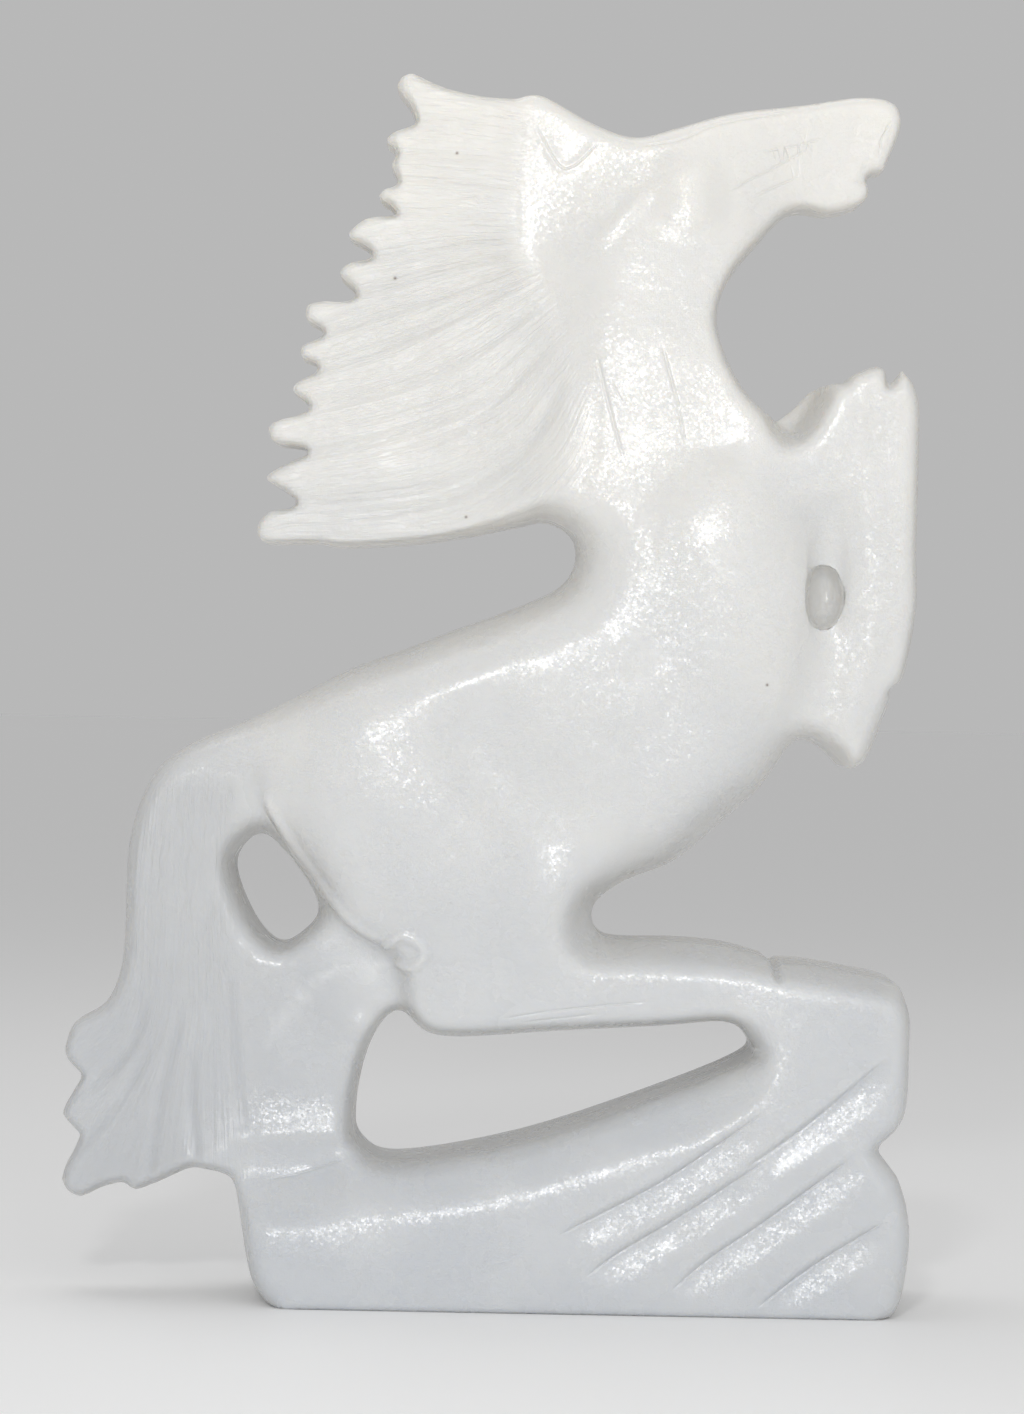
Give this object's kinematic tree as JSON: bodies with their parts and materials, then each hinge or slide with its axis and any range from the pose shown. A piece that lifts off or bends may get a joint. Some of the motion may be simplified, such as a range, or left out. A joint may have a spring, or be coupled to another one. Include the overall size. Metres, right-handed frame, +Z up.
{
  "type": "stone horse carving",
  "caption": "Rearing horse with a swept-back mane and a long tail on a grooved base, carved in one piece from polished white stone.",
  "frame": {"origin": "middle of the carving's footprint box, on the flat underside of the base", "axes": "+X the way the horse faces, +Y through the slab away from the viewer, +Z up"},
  "size_m": [0.2064, 0.066, 0.3001],
  "materials": {
    "stone": "polished"
  },
  "bodies": {
    "root": {"horse_carving": "stone"}
  },
  "joints": []
}
